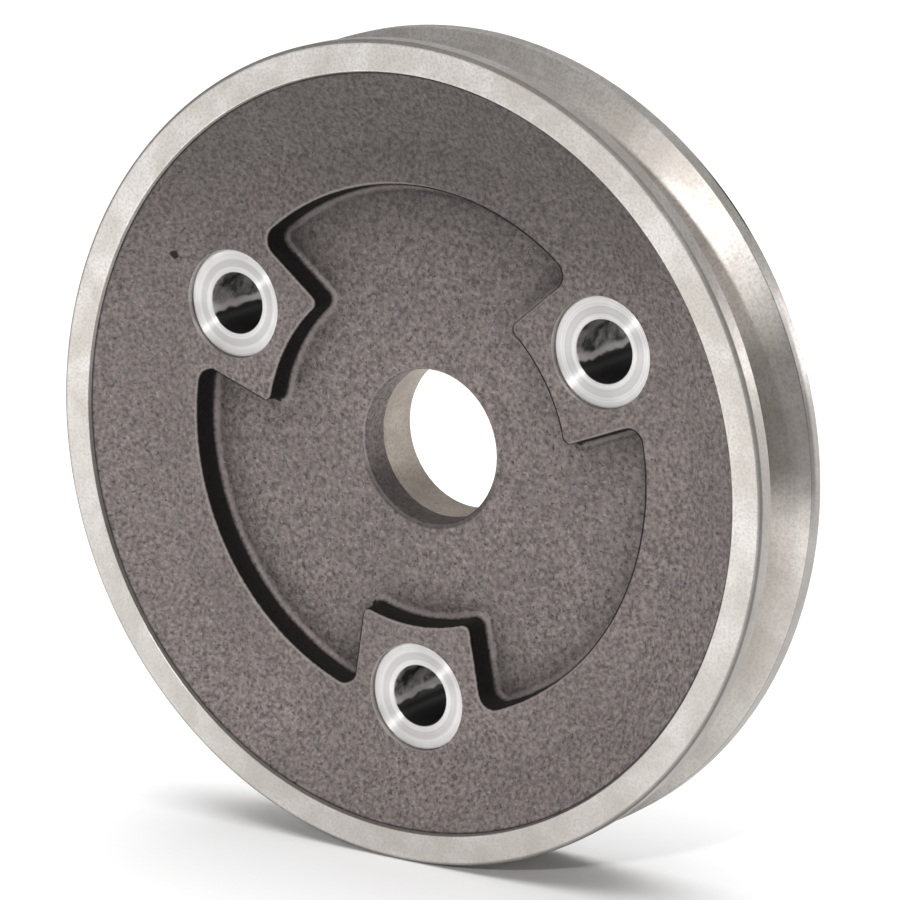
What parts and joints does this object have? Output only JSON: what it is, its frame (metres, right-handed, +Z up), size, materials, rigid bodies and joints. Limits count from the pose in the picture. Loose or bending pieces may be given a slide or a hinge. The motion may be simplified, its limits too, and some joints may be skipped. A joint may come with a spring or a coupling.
{
  "type": "v belt pulley",
  "caption": "Flat cast iron V belt pulley with a machined belt groove, a dished web with a lobed pocket, a central pilot bore and steel bushed bolt holes.",
  "frame": {"origin": "on the pulley axis, in the middle plane of the belt groove", "axes": "+Y along the pulley axis towards the hub's rear face, so the dished front face looks along -Y; +Z up; one bolt hole straight below the axis"},
  "size_m": [0.1906, 0.0333, 0.1906],
  "materials": {
    "cast_iron": "sand cast skin, turned bright on the rim, groove, bore and rear pads",
    "turned_steel": "turned end faces, reamed hole"
  },
  "bodies": {
    "root": {"pulley_body": "cast_iron", "bolt_bush_right": "turned_steel", "bolt_bush_left": "turned_steel", "bolt_bush_bottom": "turned_steel"}
  },
  "joints": []
}
